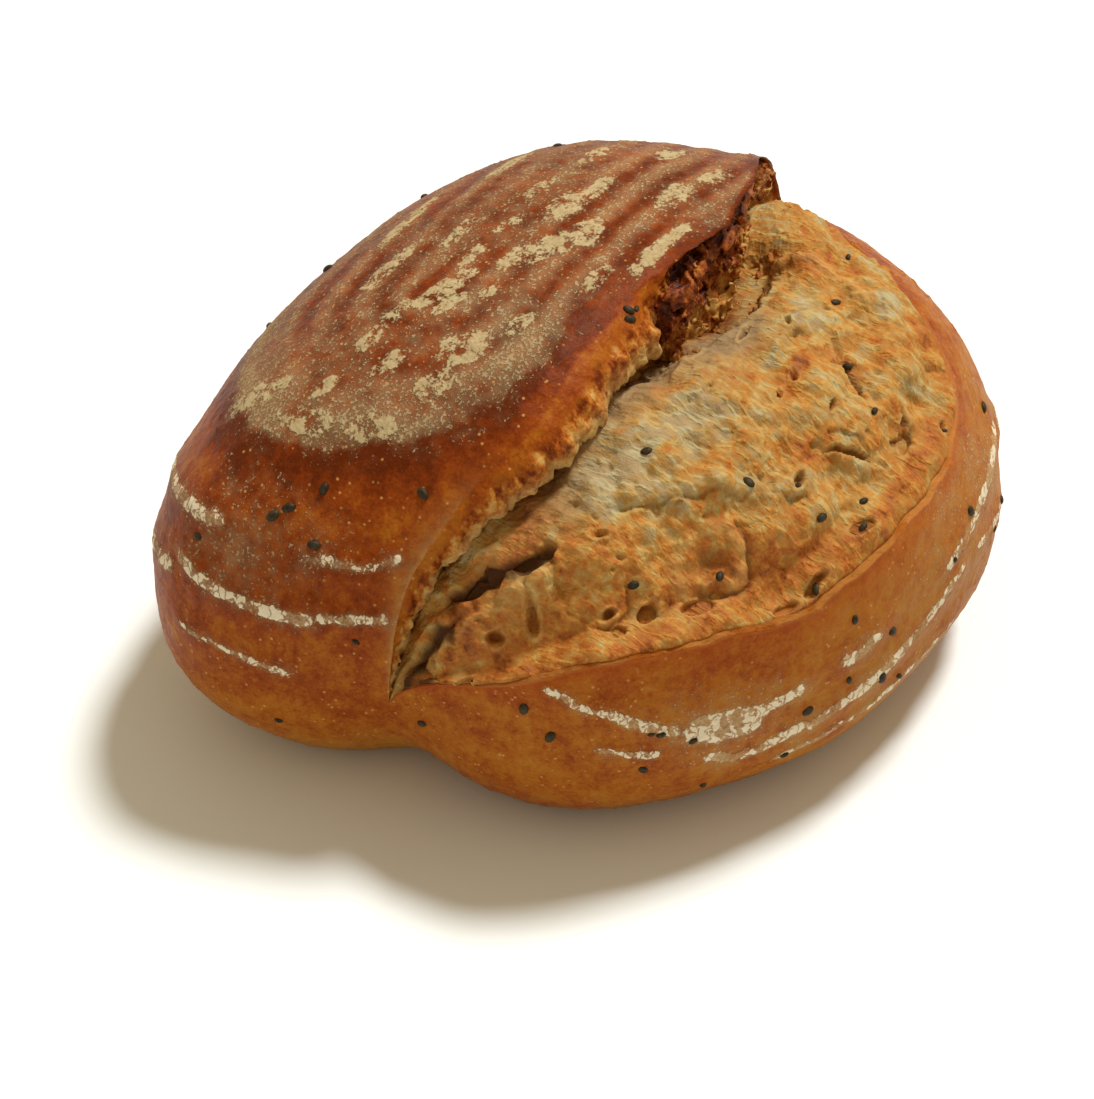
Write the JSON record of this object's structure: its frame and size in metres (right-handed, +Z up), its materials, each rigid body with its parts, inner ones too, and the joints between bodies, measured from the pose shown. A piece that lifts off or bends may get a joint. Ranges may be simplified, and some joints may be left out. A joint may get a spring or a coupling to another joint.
{
  "type": "sourdough loaf",
  "caption": "Round seeded sourdough loaf, floured and browned, torn open along one long split with a raised flap of crust.",
  "frame": {"origin": "under the middle of the loaf's bounding box, on the surface that it rests on", "axes": "+X along the split, from the end where it runs down to the base to the end where it closes at the back; +Y from the split to the raised flap of crust; +Z up"},
  "size_m": [0.182, 0.164, 0.1025],
  "materials": {
    "baked_bread": "dry baked crust, reddish brown on the flap and golden at the sides, with pale flour rings, a torn golden crumb in the split and small near-black seeds"
  },
  "bodies": {
    "root": {"loaf": "baked_bread"}
  },
  "joints": []
}
